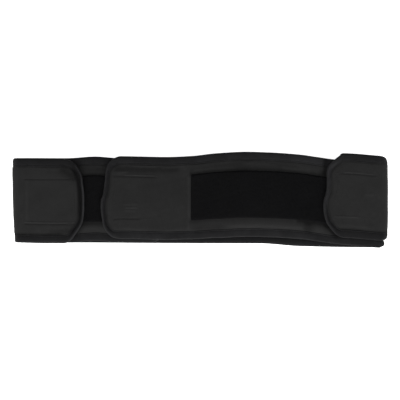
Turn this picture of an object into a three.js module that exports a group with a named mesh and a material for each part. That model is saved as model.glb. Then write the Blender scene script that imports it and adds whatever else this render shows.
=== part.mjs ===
// A maternity support belt, closed round on itself and laid flat with its front up: one padded
// band whose flap overlaps its other end, with a pull strap folded over each side.
// Units are millimetres. +X runs along the belt to its right end, +Y across it to its top edge
// and +Z up, away from the surface that it lies on.

import * as THREE from 'three';

// The closed belt
const foldedLength = 539; // outside of the left fold to outside of the right fold
const beltWidth = 121; // top edge to bottom edge, of the band and of the straps
const hollowHeight = 6; // between the band's back and its front, where the wearer goes
const leftFoldGap = 2.5; // from the strap to the band, at the outside of each fold
const rightFoldGap = 3.1;
const archHeight = 5; // how far the free front stands up beside the flap
const bowHeight = 2.5; // how much further its middle stands up than its edges

// Cloth
const bandThickness = 4; // padded
const strapThickness = 4;
const edgeThickness = 1.2; // pressed flat inside the binding
const padSlope = 2.5; // width over which the padding swells beside the binding
const bindingWidth = 12; // on each face, along the straight edges
const tipBindingWidth = 8; // and round the ends
const bindingWall = 1;
const bindingRoll = 1.2; // width of the binding's rounded edge
const patchThickness = 1;
const clearance = 0.3; // between pieces that touch

// Ends, measured from the outside of the left or right fold
const flapTipReach = 126; // left fold to the tip of the band's flap
const hiddenTipReach = 229; // left fold to the tip of the band's other end, under the flap
const leftStrapReach = 103.8; // left fold to the left strap's tip
const rightStrapReach = 93.8; // right fold to the right strap's tip
const strapBackLength = 165; // sewn stretch of each strap under the back
const tipDepth = 30; // length of an end's rounding

// Hook and loop, measured along the band or strap from its tip
const loopWidth = 67;
const hookWidth = 63;
const frontLoopSetback = 130;
const frontLoopInset = 27; // right fold to the panel's end, under the strap
const frontLoopLength = foldedLength - flapTipReach - frontLoopSetback - frontLoopInset;
const hiddenLoopSetback = 9;
const hiddenLoopLength = 196;
const flapHookSetback = 18;
const flapHookLength = 63;
const leftHookSetback = 10;
const leftHookLength = 71;
const rightHookSetback = 14;
const rightHookLength = 62;

// Fineness of the facets
const frontStep = 16; // longest step along the arched front
const flatStep = 34; // longest step along a flat stretch
const foldSteps = 8;
const tipSteps = 10;
const lastTipAngle = THREE.MathUtils.degToRad(85);

// How each stretch lies. at: share of foldedLength from the left, or on the front, which comes
// down before the right strap's tip, share of the way to that tip. over: share of the step up
// onto the band's other end. arch: share of archHeight and bowHeight. shift: share of
// beltWidth, towards the top edge.
const frontStretch = [
  { at: 0.243, over: 1, arch: 0, shift: 0.018 },
  { at: 0.352, over: 1, arch: 0, shift: 0.016 },
  { at: 0.497, over: 1, arch: 0, shift: 0.006 },
  { at: 0.576, over: 1, arch: 0.2, shift: 0.017 },
  { at: 0.655, over: 1, arch: 0.7, shift: 0.048 },
  { at: 0.752, over: 0.86, arch: 1, shift: 0.066 },
  { at: 0.831, over: 0.55, arch: 0.85, shift: 0.059 },
  { at: 0.928, over: 0.12, arch: 0.22, shift: 0.036 },
  { at: 0.982, over: 0, arch: 0, shift: 0.008 },
  { at: 1.025, over: 0, arch: 0, shift: -0.015 },
  { at: 1.122, over: 0, arch: 0, shift: -0.05 },
  { at: 1.188, over: 0, arch: 0, shift: -0.07 },
];
const hiddenStretch = [
  { at: 0.02, over: 0, arch: 0, shift: -0.004 },
  { at: 0.145, over: 0, arch: 0, shift: -0.006 },
  { at: 0.22, over: 0, arch: 0, shift: 0.014 },
  { at: 0.28, over: 0, arch: 0, shift: -0.004 },
  { at: 0.45, over: 0, arch: 0, shift: -0.008 },
];
const backStretch = [
  { at: 0.02, over: 0, arch: 0, shift: -0.004 },
  { at: 0.2, over: 0, arch: 0, shift: -0.012 },
  { at: 0.5, over: 0, arch: 0, shift: -0.02 },
  { at: 0.66, over: 0, arch: 0, shift: -0.022 },
  { at: 0.765, over: 0, arch: 0, shift: -0.054 },
  { at: 0.885, over: 0, arch: 0, shift: -0.066 },
  { at: 0.98, over: 0, arch: 0, shift: -0.07 },
];
const leftStrapStretch = [
  { at: 0, over: 0, arch: 0, shift: -0.006 },
  { at: 0.1, over: 0, arch: 0, shift: -0.014 },
  { at: 0.4, over: 0, arch: 0, shift: -0.014 },
];
const rightStrapFrontStretch = [
  { at: 0.82, over: 0, arch: 0, shift: 0.056 },
  { at: 0.89, over: 0, arch: 0, shift: 0.05 },
  { at: 1, over: 0, arch: 0, shift: 0.018 },
];
const rightStrapBackStretch = [
  { at: 0.66, over: 0, arch: 0, shift: -0.016 },
  { at: 0.765, over: 0, arch: 0, shift: -0.046 },
  { at: 0.885, over: 0, arch: 0, shift: -0.034 },
  { at: 1, over: 0, arch: 0, shift: 0.018 },
];

// Heights of the middle of each layer, from the surface up
const fastening = 2 * patchThickness + 3 * clearance; // loop and hook between two layers
const strapBackHeight = strapThickness / 2;
const bandBackHeight = strapThickness + clearance + bandThickness / 2;
const bandFrontHeight = bandBackHeight + bandThickness + hollowHeight;
const flapHeight = bandFrontHeight + bandThickness + fastening;
const strapFrontHeight = bandFrontHeight + (bandThickness + strapThickness) / 2 + fastening;
const bandFoldRadius = (bandFrontHeight - bandBackHeight) / 2;
const strapFoldRadius = (strapFrontHeight - strapBackHeight) / 2;

// Places of the folds
const leftOutside = -foldedLength / 2;
const rightOutside = foldedLength / 2;
const strapFoldInset = strapThickness / 2 + strapFoldRadius;
const leftBandFold = leftOutside + strapThickness + leftFoldGap + bandThickness / 2 + bandFoldRadius;
const rightBandFold = rightOutside - strapThickness - rightFoldGap - bandThickness / 2 - bandFoldRadius;

// How each rounded end differs from an even one. at: share of half the width, from the bottom
// edge to the top. pushedBack: share of tipDepth.
const evenTip = [
  { at: -1, pushedBack: 0 },
  { at: 1, pushedBack: 0 },
];
const flapTip = [
  { at: -1, pushedBack: 0 },
  { at: -0.92, pushedBack: -0.07 },
  { at: -0.7, pushedBack: -0.095 },
  { at: -0.45, pushedBack: -0.02 },
  { at: -0.2, pushedBack: 0.01 },
  { at: -0.04, pushedBack: 0.045 },
  { at: 0.1, pushedBack: 0.135 },
  { at: 0.22, pushedBack: 0.155 },
  { at: 0.4, pushedBack: 0.145 },
  { at: 0.62, pushedBack: 0.055 },
  { at: 0.82, pushedBack: -0.025 },
  { at: 1, pushedBack: 0 },
];
const leftStrapTip = [
  { at: -1, pushedBack: 0 },
  { at: -0.8, pushedBack: 0.04 },
  { at: -0.65, pushedBack: -0.01 },
  { at: -0.5, pushedBack: -0.055 },
  { at: -0.3, pushedBack: -0.03 },
  { at: 0, pushedBack: 0 },
  { at: 0.3, pushedBack: -0.01 },
  { at: 0.45, pushedBack: -0.03 },
  { at: 0.6, pushedBack: -0.08 },
  { at: 0.92, pushedBack: -0.07 },
  { at: 1, pushedBack: 0 },
];
const rightStrapTip = [
  { at: -1, pushedBack: 0 },
  { at: -0.84, pushedBack: -0.03 },
  { at: -0.65, pushedBack: -0.095 },
  { at: -0.4, pushedBack: -0.075 },
  { at: -0.14, pushedBack: -0.01 },
  { at: 0, pushedBack: 0.08 },
  { at: 0.146, pushedBack: 0.135 },
  { at: 0.3, pushedBack: 0.11 },
  { at: 0.4, pushedBack: 0.075 },
  { at: 0.5, pushedBack: 0.02 },
  { at: 0.665, pushedBack: -0.045 },
  { at: 0.82, pushedBack: 0.03 },
  { at: 0.94, pushedBack: 0.07 },
  { at: 1, pushedBack: 0 },
];

// A smooth line through one column of a table, which never overshoots its rows.
function smoothColumn(rows, column) {
  const slopeBetween = (a, b) => (b[column] - a[column]) / (b.at - a.at);
  const slopes = rows.map((row, i) => {
    if (i === 0 || i === rows.length - 1) return 0;
    const before = slopeBetween(rows[i - 1], row);
    const after = slopeBetween(row, rows[i + 1]);
    return before * after <= 0 ? 0 : (2 * before * after) / (before + after);
  });
  return (at) => {
    const next = rows.findIndex((row) => row.at > at);
    if (next === 0) return rows[0][column];
    if (next < 0) return rows[rows.length - 1][column];
    const [a, b] = [rows[next - 1], rows[next]];
    const width = b.at - a.at;
    const t = (at - a.at) / width;
    return (
      (1 + 2 * t) * (1 - t) ** 2 * a[column] +
      t * (1 - t) ** 2 * width * slopes[next - 1] +
      t * t * (3 - 2 * t) * b[column] +
      t * t * (t - 1) * width * slopes[next]
    );
  };
}

// A stretch of a band seen from the side, from one x to another. outward is 1 on the front
// and -1 on the back. stepUp is the height that the table's column over is a share of.
function stretch(table, fromX, toX, height, outward, longestStep, stepUp = 0, span = foldedLength) {
  const [over, arch, shift] = ['over', 'arch', 'shift'].map((name) => smoothColumn(table, name));
  const share = (x) => (x - leftOutside) / span;
  const heightAt = (x) => height + over(share(x)) * stepUp + arch(share(x)) * archHeight;
  const count = Math.max(1, Math.ceil(Math.abs(toX - fromX) / longestStep));
  return Array.from({ length: count + 1 }, (_, i) => {
    const x = THREE.MathUtils.lerp(fromX, toX, i / count);
    const slope = (heightAt(x + 1) - heightAt(x - 1)) / 2;
    const normal = new THREE.Vector2(-slope, 1).normalize().multiplyScalar(outward);
    return {
      place: new THREE.Vector2(x, heightAt(x)),
      normal,
      shift: shift(share(x)) * beltWidth,
      bow: arch(share(x)) * bowHeight,
    };
  });
}

// A half turn without its two ends. side is -1 on the left, walked down, and 1 on the right,
// walked up.
function fold(centreX, centreHeight, radius, side, shift) {
  return Array.from({ length: foldSteps - 1 }, (_, i) => {
    const angle = -side * (Math.PI / 2) + (side * Math.PI * (i + 1)) / foldSteps;
    const normal = new THREE.Vector2(side * Math.cos(angle), Math.sin(angle));
    const place = normal.clone().multiplyScalar(radius).add(new THREE.Vector2(centreX, centreHeight));
    return { place, normal, shift, bow: 0 };
  });
}

// The whole line of a band, with the distance walked to each of its points.
function lineOf(points) {
  let walked = 0;
  return points.map((point, i) => {
    if (i > 0) walked += point.place.distanceTo(points[i - 1].place);
    return { ...point, walked };
  });
}

// Where a point of the flat cloth comes to lie: along the line, across it, and off its middle.
function lay(line, along, across, off) {
  const next = Math.max(1, line.findIndex((point) => point.walked >= along));
  const [a, b] = along >= line[line.length - 1].walked ? line.slice(-2) : [line[next - 1], line[next]];
  const t = (along - a.walked) / (b.walked - a.walked);
  const normal = a.normal.clone().lerp(b.normal, t).normalize();
  const bow = THREE.MathUtils.lerp(a.bow, b.bow, t) * (1 - (2 * across / beltWidth) ** 2);
  const place = a.place.clone().lerp(b.place, t).addScaledVector(normal, off + bow);
  return new THREE.Vector3(place.x, across + THREE.MathUtils.lerp(a.shift, b.shift, t), place.y);
}

// How far a rounded end stops short of its tip. across is from -1 at the bottom edge to 1.
function tipShortfall(across, shape) {
  const pushedBack = smoothColumn(shape, 'pushedBack');
  return tipDepth * (1 - Math.sqrt(1 - across * across) + pushedBack(across));
}

// The flat cloth's outline as rungs from its start to its end, each with a point on the bottom
// edge and one on the top edge.
function rungsOf(line, ends) {
  const length = line[line.length - 1].walked;
  const half = beltWidth / 2;
  const rung = (bottom, top, across) => [
    new THREE.Vector2(bottom, -half * across),
    new THREE.Vector2(top, half * across),
  ];
  const tip = (end) =>
    Array.from({ length: tipSteps + 1 }, (_, i) => {
      const across = Math.cos((lastTipAngle * i) / tipSteps);
      return { across, bottom: tipShortfall(-across, end.shape), top: tipShortfall(across, end.shape) };
    });
  const startRungs = ends.start.round
    ? tip(ends.start).reverse().map((t) => rung(t.bottom, t.top, t.across))
    : [rung(0, 0, 1)];
  const endRungs = ends.end.round
    ? tip(ends.end).map((t) => rung(length - t.bottom, length - t.top, t.across))
    : [rung(length, length, 1)];
  const margin = 2 * clearance;
  const first = (ends.start.round ? tipDepth : 0) + margin;
  const last = length - (ends.end.round ? tipDepth : 0) - margin;
  const middle = line
    .filter((point) => point.walked > first && point.walked < last)
    .map((point) => rung(point.walked, point.walked, 1));
  return [...startRungs, ...middle, ...endRungs];
}

// The outline walked along the bottom edge and back along the top, with the way inwards and
// the binding's width at each point.
function outlineOf(rungs, closed) {
  const points = [...rungs.map((r) => r[0]), ...rungs.map((r) => r[1]).reverse()];
  const last = points.length - 1;
  const at = (i) => (closed ? points.at(i % points.length) : points[THREE.MathUtils.clamp(i, 0, last)]);
  return points.map((point, i) => {
    const way = at(i + 1).clone().sub(at(i === 0 && !closed ? 0 : i - 1)).normalize();
    return {
      point,
      inward: new THREE.Vector2(-way.y, way.x),
      width: THREE.MathUtils.lerp(bindingWidth, tipBindingWidth, way.y ** 2),
    };
  });
}

// A closed mesh from vertices and faces with three or four corners, with its faces outwards.
function solid(vertices, faces) {
  const triangles = faces.flatMap((f) => (f.length === 4 ? [f[0], f[1], f[2], f[0], f[2], f[3]] : f));
  let volume = 0;
  for (let i = 0; i < triangles.length; i += 3) {
    const [a, b, c] = triangles.slice(i, i + 3).map((v) => vertices[v]);
    volume += a.dot(b.clone().cross(c));
  }
  if (volume < 0) triangles.reverse();
  const geometry = new THREE.BufferGeometry().setFromPoints(vertices).setIndex(triangles);
  geometry.computeVertexNormals();
  return geometry;
}

// A slab of cloth from rows of points across it, each with its upper and lower place. A
// rounded end closes by joining its row's two halves, and a square one by a wall.
function slab(rows, ends) {
  const across = rows[0].length;
  const vertices = rows.flatMap((row) => row.flatMap(({ upper, lower }) => [upper, lower]));
  const upper = (i, j) => 2 * (i * across + j);
  const lower = (i, j) => upper(i, j) + 1;
  const faces = [];
  for (let i = 0; i + 1 < rows.length; i += 1) {
    for (let j = 0; j + 1 < across; j += 1) {
      faces.push([upper(i, j), upper(i + 1, j), upper(i + 1, j + 1), upper(i, j + 1)]);
      faces.push([lower(i, j), lower(i, j + 1), lower(i + 1, j + 1), lower(i + 1, j)]);
    }
    faces.push([upper(i, 0), lower(i, 0), lower(i + 1, 0), upper(i + 1, 0)]);
    const side = across - 1;
    faces.push([upper(i, side), upper(i + 1, side), lower(i + 1, side), lower(i, side)]);
  }
  const close = (i, round, turn) => {
    const end = [];
    const middle = (across - 1) / 2;
    for (let j = 0; j < (round ? middle : across - 1); j += 1) {
      const mirror = across - 1 - j;
      if (!round) end.push([upper(i, j), upper(i, j + 1), lower(i, j + 1), lower(i, j)]);
      else if (j + 1 === middle) {
        end.push([upper(i, j), upper(i, middle), upper(i, mirror)]);
        end.push([lower(i, j), lower(i, mirror), lower(i, middle)]);
      } else {
        end.push([upper(i, j), upper(i, j + 1), upper(i, mirror - 1), upper(i, mirror)]);
        end.push([lower(i, j), lower(i, mirror), lower(i, mirror - 1), lower(i, j + 1)]);
      }
    }
    if (round) end.push([upper(i, 0), upper(i, across - 1), lower(i, across - 1), lower(i, 0)]);
    faces.push(...end.map((face) => (turn ? face.reverse() : face)));
  };
  close(0, ends.start.round, false);
  close(rows.length - 1, ends.end.round, true);
  return solid(vertices, faces);
}

// The padded cloth of a band or strap: thin where the binding grips it, full inside that.
function paddedCloth(band) {
  const rungs = band.rungs;
  const outline = band.outline;
  const full = band.thickness / 2;
  const thin = edgeThickness / 2;
  const rows = rungs.map((_, i) => {
    const [bottom, top] = [outline[i], outline[outline.length - 1 - i]];
    const inset = (edge, by) => edge.point.clone().addScaledVector(edge.inward, by);
    const steps = (edge) => [
      { point: inset(edge, bindingWall + clearance), half: thin },
      { point: inset(edge, edge.width + clearance), half: thin },
      { point: inset(edge, edge.width + clearance + padSlope), half: full },
    ];
    const [low, high] = [steps(bottom), steps(top)];
    const rim = bindingWidth + clearance + padSlope;
    const field = (beltWidth / 2 - rim - loopWidth / 2) / (beltWidth - 2 * rim);
    const inner = [field, 0.5, 1 - field].map((share) => ({
      point: low[2].point.clone().lerp(high[2].point, share),
      half: full,
    }));
    return [...low, ...inner, ...high.reverse()].map(({ point, half }) => ({
      upper: lay(band.line, point.x, point.y, half),
      lower: lay(band.line, point.x, point.y, -half),
    }));
  });
  return slab(rows, band.ends);
}

// The binding: a channel folded over the edge, drawn along the outline.
function binding(band) {
  const inside = edgeThickness / 2 + clearance;
  const outside = inside + bindingWall;
  const section = (width) => [
    new THREE.Vector2(width, outside),
    new THREE.Vector2(bindingRoll, outside),
    new THREE.Vector2(0, outside - bindingRoll),
    new THREE.Vector2(0, bindingRoll - outside),
    new THREE.Vector2(bindingRoll, -outside),
    new THREE.Vector2(width, -outside),
    new THREE.Vector2(width, -inside),
    new THREE.Vector2(bindingWall, -inside),
    new THREE.Vector2(bindingWall, inside),
    new THREE.Vector2(width, inside),
  ];
  const rings = band.outline.map(({ point, inward, width }) =>
    section(width).map(({ x, y }) => {
      const inner = point.clone().addScaledVector(inward, x);
      return lay(band.line, inner.x, inner.y, y);
    }),
  );
  const corners = rings[0].length;
  const vertices = rings.flat();
  const faces = [];
  const last = band.closed ? rings.length : rings.length - 1;
  for (let i = 0; i < last; i += 1) {
    const next = (i + 1) % rings.length;
    for (let j = 0; j < corners; j += 1) {
      const k = (j + 1) % corners;
      faces.push([i * corners + j, i * corners + k, next * corners + k, next * corners + j]);
    }
  }
  if (!band.closed) {
    const cap = THREE.ShapeUtils.triangulateShape(section(bindingWidth), []);
    const end = (rings.length - 1) * corners;
    cap.forEach(([a, b, c]) => faces.push([c, b, a], [end + a, end + b, end + c]));
  }
  return solid(vertices, faces);
}

// A patch sewn flat to a band. from and to are distances along it, and side is 1 on its
// outer face and -1 on its inner face.
function patch(band, from, to, width, side) {
  const near = side * (band.thickness / 2 + clearance);
  const far = near + side * patchThickness;
  const stops = [from, ...band.line.map((p) => p.walked).filter((w) => w > from + 1 && w < to - 1), to];
  const rows = stops.map((along) =>
    [-width / 2, 0, width / 2].map((across) => ({
      upper: lay(band.line, along, across, Math.max(near, far)),
      lower: lay(band.line, along, across, Math.min(near, far)),
    })),
  );
  return slab(rows, { start: { round: false }, end: { round: false } });
}

function makeBand(points, thickness, ends) {
  const line = lineOf(points);
  const rungs = rungsOf(line, ends);
  const closed = ends.start.round && ends.end.round;
  const length = line[line.length - 1].walked;
  return { line, rungs, thickness, ends, closed, length, outline: outlineOf(rungs, closed) };
}

const evenEnd = { round: true, shape: evenTip };
const flapEnd = { round: true, shape: flapTip };
const leftStrapEnd = { round: true, shape: leftStrapTip };
const rightStrapEnd = { round: true, shape: rightStrapTip };
const sewnEnd = { round: false };

// The main band, walked from its hidden end, down the left fold, along the back, up the right
// fold and along the front to the flap's tip.
function mainBand() {
  const middle = (bandFrontHeight + bandBackHeight) / 2;
  const leftShift = backStretch[0].shift * beltWidth;
  const rightShift = backStretch[backStretch.length - 1].shift * beltWidth;
  return makeBand(
    [
      ...stretch(hiddenStretch, leftOutside + hiddenTipReach, leftBandFold, bandFrontHeight, 1, flatStep),
      ...fold(leftBandFold, middle, bandFoldRadius, -1, leftShift),
      ...stretch(backStretch, leftBandFold, rightBandFold, bandBackHeight, -1, flatStep),
      ...fold(rightBandFold, middle, bandFoldRadius, 1, rightShift),
      ...stretch(
        frontStretch,
        rightBandFold,
        leftOutside + flapTipReach,
        bandFrontHeight,
        1,
        frontStep,
        flapHeight - bandFrontHeight,
        foldedLength - rightStrapReach,
      ),
    ],
    bandThickness,
    { start: evenEnd, end: flapEnd },
  );
}

// The left strap, walked from its sewn end under the back, up the fold and to its tip.
function leftStrap() {
  const foldAt = leftOutside + strapFoldInset;
  const middle = (strapFrontHeight + strapBackHeight) / 2;
  const fromTip = [
    ...stretch(leftStrapStretch, leftOutside + leftStrapReach, foldAt, strapFrontHeight, 1, flatStep),
    ...fold(foldAt, middle, strapFoldRadius, -1, leftStrapStretch[0].shift * beltWidth),
    ...stretch(leftStrapStretch, foldAt, foldAt + strapBackLength, strapBackHeight, -1, flatStep),
  ];
  return makeBand(fromTip.reverse(), strapThickness, { start: sewnEnd, end: leftStrapEnd });
}

// The right strap, walked from its sewn end under the back, up the fold and to its tip.
function rightStrap() {
  const foldAt = rightOutside - strapFoldInset;
  const middle = (strapFrontHeight + strapBackHeight) / 2;
  const shift = rightStrapBackStretch[rightStrapBackStretch.length - 1].shift * beltWidth;
  const tip = rightOutside - rightStrapReach;
  return makeBand(
    [
      ...stretch(rightStrapBackStretch, foldAt - strapBackLength, foldAt, strapBackHeight, -1, flatStep),
      ...fold(foldAt, middle, strapFoldRadius, 1, shift),
      ...stretch(rightStrapFrontStretch, foldAt, tip, strapFrontHeight, 1, flatStep),
    ],
    strapThickness,
    { start: sewnEnd, end: rightStrapEnd },
  );
}

const faceCloth = { color: 0x2a2a2b, roughness: 0.85, metalness: 0 };
const bindingTape = { color: 0x1f1f21, roughness: 0.75, metalness: 0 };
const loopPile = { color: 0x121214, roughness: 1, metalness: 0 };
const hookTape = { color: 0x18181a, roughness: 0.6, metalness: 0 };

function addPiece(group, name, geometry, finish) {
  const piece = new THREE.Mesh(geometry, new THREE.MeshStandardMaterial(finish));
  piece.name = name;
  group.add(piece);
}

const belt = new THREE.Group();
const band = mainBand();
const left = leftStrap();
const right = rightStrap();

addPiece(belt, 'main_band', paddedCloth(band), faceCloth);
addPiece(belt, 'main_band_binding', binding(band), bindingTape);
addPiece(belt, 'left_strap', paddedCloth(left), faceCloth);
addPiece(belt, 'left_strap_binding', binding(left), bindingTape);
addPiece(belt, 'right_strap', paddedCloth(right), faceCloth);
addPiece(belt, 'right_strap_binding', binding(right), bindingTape);

const frontLoopEnd = band.length - frontLoopSetback;
const flapHookEnd = band.length - flapHookSetback;
const leftHookEnd = left.length - leftHookSetback;
const rightHookEnd = right.length - rightHookSetback;
const hiddenLoopEnd = hiddenLoopSetback + hiddenLoopLength;
const frontLoop = patch(band, frontLoopEnd - frontLoopLength, frontLoopEnd, loopWidth, 1);
const hiddenLoop = patch(band, hiddenLoopSetback, hiddenLoopEnd, loopWidth, 1);
const flapHook = patch(band, flapHookEnd - flapHookLength, flapHookEnd, hookWidth, -1);
const leftHook = patch(left, leftHookEnd - leftHookLength, leftHookEnd, hookWidth, -1);
const rightHook = patch(right, rightHookEnd - rightHookLength, rightHookEnd, hookWidth, -1);
addPiece(belt, 'front_loop_panel', frontLoop, loopPile);
addPiece(belt, 'hidden_loop_panel', hiddenLoop, loopPile);
addPiece(belt, 'flap_hook_patch', flapHook, hookTape);
addPiece(belt, 'left_hook_patch', leftHook, hookTape);
addPiece(belt, 'right_hook_patch', rightHook, hookTape);

// The origin is under the middle of the laid belt, on the surface.
const bounds = new THREE.Box3().setFromObject(belt);
const middle = bounds.getCenter(new THREE.Vector3());
belt.position.set(-middle.x, -middle.y, -bounds.min.z);

export default belt;
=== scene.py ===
import math

import bpy
import numpy as np
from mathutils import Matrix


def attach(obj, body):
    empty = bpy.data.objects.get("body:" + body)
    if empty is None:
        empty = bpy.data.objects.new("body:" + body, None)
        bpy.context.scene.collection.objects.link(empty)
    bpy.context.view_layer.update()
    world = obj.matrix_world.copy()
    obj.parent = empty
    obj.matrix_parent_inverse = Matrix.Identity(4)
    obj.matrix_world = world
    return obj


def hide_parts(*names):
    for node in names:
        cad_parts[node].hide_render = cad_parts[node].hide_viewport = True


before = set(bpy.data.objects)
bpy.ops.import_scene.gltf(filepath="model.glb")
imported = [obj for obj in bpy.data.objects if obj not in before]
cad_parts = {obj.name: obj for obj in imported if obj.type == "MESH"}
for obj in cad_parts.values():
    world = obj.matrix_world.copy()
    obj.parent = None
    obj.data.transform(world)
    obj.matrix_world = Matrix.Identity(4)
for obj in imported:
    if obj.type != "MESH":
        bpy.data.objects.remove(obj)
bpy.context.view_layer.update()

# The closed belt lies flat with its front up. Metres, +X to its right end, +Y to its top edge.
# Cloth is worked out flat first: along it, across it and off its middle. Then it is laid.
belt = {
    "foldedLength": 0.539,
    "width": 0.121,
    "hollow": 0.006,          # between the band's back and its front
    "leftFoldGap": 0.0025,    # from the strap to the band, at the outside of each fold
    "rightFoldGap": 0.0031,
    "archHeight": 0.005,      # how far the free front stands up beside the flap
    "bowHeight": 0.0025,      # how much further its middle stands up than its edges
    "thickness": 0.004,
    "patch": 0.001,
    "clearance": 0.0003,
    "flapReach": 0.126,       # left fold to the tip of the band's flap
    "hiddenReach": 0.229,     # left fold to the tip of the band's other end
    "leftStrapReach": 0.1038,
    "rightStrapReach": 0.0938,
    "strapBack": 0.165,       # sewn stretch of each strap under the back
    "tipDepth": 0.030,        # length of an end's rounding
    "toMiddle": 0.00024,      # the frame's origin is under the middle of the whole
}

# How each stretch lies: share of the length from the left (on the front, of the way to the
# right strap's tip), share of the step up onto the band's other end, share of the arch, and
# shift towards the top edge as a share of the width.
frontStretch = (
    (0.243, 1, 0, 0.018), (0.352, 1, 0, 0.016), (0.497, 1, 0, 0.006),
    (0.576, 1, 0.2, 0.017), (0.655, 1, 0.7, 0.048), (0.752, 0.86, 1, 0.066),
    (0.831, 0.55, 0.85, 0.059), (0.928, 0.12, 0.22, 0.036), (0.982, 0, 0, 0.008),
    (1.025, 0, 0, -0.015), (1.122, 0, 0, -0.05), (1.188, 0, 0, -0.07),
)
hiddenStretch = (
    (0.02, 0, 0, -0.004), (0.145, 0, 0, -0.006), (0.22, 0, 0, 0.014),
    (0.28, 0, 0, -0.004), (0.45, 0, 0, -0.008),
)
backStretch = (
    (0.02, 0, 0, -0.004), (0.2, 0, 0, -0.012), (0.5, 0, 0, -0.02),
    (0.66, 0, 0, -0.022), (0.765, 0, 0, -0.054), (0.885, 0, 0, -0.066),
    (0.98, 0, 0, -0.07),
)
leftStrapStretch = ((0, 0, 0, -0.006), (0.1, 0, 0, -0.014), (0.4, 0, 0, -0.014))
rightStrapFrontStretch = ((0.82, 0, 0, 0.056), (0.89, 0, 0, 0.05), (1, 0, 0, 0.018))
rightStrapBackStretch = (
    (0.66, 0, 0, -0.016), (0.765, 0, 0, -0.046), (0.885, 0, 0, -0.034),
    (1, 0, 0, 0.018),
)

# How each rounded end differs from an even one: share of half the width from the bottom edge
# to the top, and share of tipDepth
evenTip = ((-1, 0), (1, 0))
flapTip = (
    (-1, 0), (-0.92, -0.07), (-0.7, -0.095), (-0.45, -0.02),
    (-0.2, 0.01), (-0.04, 0.045), (0.1, 0.135), (0.22, 0.155),
    (0.4, 0.145), (0.62, 0.055), (0.82, -0.025), (1, 0),
)
leftStrapTip = (
    (-1, 0), (-0.8, 0.04), (-0.65, -0.01), (-0.5, -0.055),
    (-0.3, -0.03), (0, 0), (0.3, -0.01), (0.45, -0.03),
    (0.6, -0.08), (0.92, -0.07), (1, 0),
)
rightStrapTip = (
    (-1, 0), (-0.84, -0.03), (-0.65, -0.095), (-0.4, -0.075),
    (-0.14, -0.01), (0, 0.08), (0.146, 0.135), (0.3, 0.11),
    (0.4, 0.075), (0.5, 0.02), (0.665, -0.045), (0.81, 0.05),
    (0.94, 0.11), (1, 0),
)

# How far each fold stands out beyond an even one: share of half the width, and metres
leftFold = (
    (-1, -0.0026), (-0.7, -0.0015), (0, 0), (0.72, 0.0007),
    (0.95, 0.0006), (1, 0),
)
bandRightFold = (
    (-1, -0.0020), (-0.95, 0.0022), (-0.89, 0.0032), (-0.8, 0.0008),
    (-0.7, 0), (0.9, 0), (1, -0.003),
)
strapRightFold = (
    (-1, -0.0040), (-0.95, -0.0012), (-0.85, 0), (0.8, 0),
    (0.9, -0.0010), (0.96, -0.0028), (1, -0.0060),
)
# How far the flap's bottom edge is drawn up: metres from its tip, and metres
flapDrawn = (
    (0, 0), (0.016, 0.0012), (0.03, 0.0028), (0.12, 0.0026),
    (0.16, 0.0008), (0.18, 0),
)

# Heights of the middle of each layer
thickness = belt["thickness"]
fastening = 2 * belt["patch"] + 3 * belt["clearance"]
strapBackHeight = thickness / 2
bandBackHeight = thickness * 1.5 + belt["clearance"]
bandFrontHeight = bandBackHeight + thickness + belt["hollow"]
topHeight = bandFrontHeight + thickness + fastening
bandFoldRadius = (bandFrontHeight - bandBackHeight) / 2
strapFoldRadius = (topHeight - strapBackHeight) / 2

# Places of the folds
leftOutside = -belt["foldedLength"] / 2
rightOutside = belt["foldedLength"] / 2
strapFoldInset = thickness / 2 + strapFoldRadius
leftBandFold = leftOutside + thickness * 1.5 + belt["leftFoldGap"] + bandFoldRadius
rightBandFold = rightOutside - thickness * 1.5 - belt["rightFoldGap"] - bandFoldRadius
lineStep = 0.001  # fineness of the lines that the cloth is laid along


def smooth(table, at, column=1):  # smooth through a table's column, never past its rows
    x = np.array([row[0] for row in table], float)
    y = np.array([row[column] for row in table], float)
    between = np.diff(y) / np.diff(x)
    slopes = np.zeros(len(x))
    for i in range(1, len(x) - 1):
        before, after = between[i - 1], between[i]
        if before * after > 0:
            slopes[i] = 2 * before * after / (before + after)
    at = np.clip(at, x[0], x[-1])
    i = np.clip(np.searchsorted(x, at, side="right") - 1, 0, len(x) - 2)
    width = x[i + 1] - x[i]
    t = (at - x[i]) / width
    return (
        (1 + 2 * t) * (1 - t) ** 2 * y[i]
        + t * (1 - t) ** 2 * width * slopes[i]
        + t * t * (3 - 2 * t) * y[i + 1]
        + t * t * (t - 1) * width * slopes[i + 1]
    )


def stretch(table, fromX, toX, height, outward, stepUp=0.0, span=belt["foldedLength"]):
    # One stretch of cloth seen from the side: place, height, direction off the cloth, shift, bow.
    x = np.linspace(fromX, toX, int(abs(toX - fromX) / lineStep) + 2)

    def read(x):
        return (smooth(table, (x - leftOutside) / span, column) for column in (1, 2, 3))

    def heightAt(x):
        over, arch, _ = read(x)
        return height + over * stepUp + arch * belt["archHeight"]

    slope = (heightAt(x + lineStep) - heightAt(x - lineStep)) / (2 * lineStep)
    size = np.hypot(slope, 1) * outward
    _, arch, shift = read(x)
    shift, bow = shift * belt["width"], arch * belt["bowHeight"]
    return np.stack([x, heightAt(x), -slope / size, 1 / size, shift, bow], 1)


def fold(centreX, centreHeight, radius, side, shift):  # half a turn: left down, right up
    steps = int(math.pi * radius / lineStep) + 2
    angle = -side * math.pi / 2 + side * math.pi * np.arange(1, steps) / steps
    nx, nz = side * np.cos(angle), np.sin(angle)
    same = np.ones_like(nx)
    x, height = centreX + nx * radius, centreHeight + nz * radius
    return np.stack([x, height, nx, nz, same * shift, same * 0], 1)


def shiftOf(row):  # how far a stretch is shifted at one of its rows
    return row[-1] * belt["width"]


def walkedAlong(points):  # how far each point is from the first, along the line
    steps = np.hypot(*np.diff(points[:, :2], axis=0).T)
    return np.concatenate([[0], np.cumsum(steps)])


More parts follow.
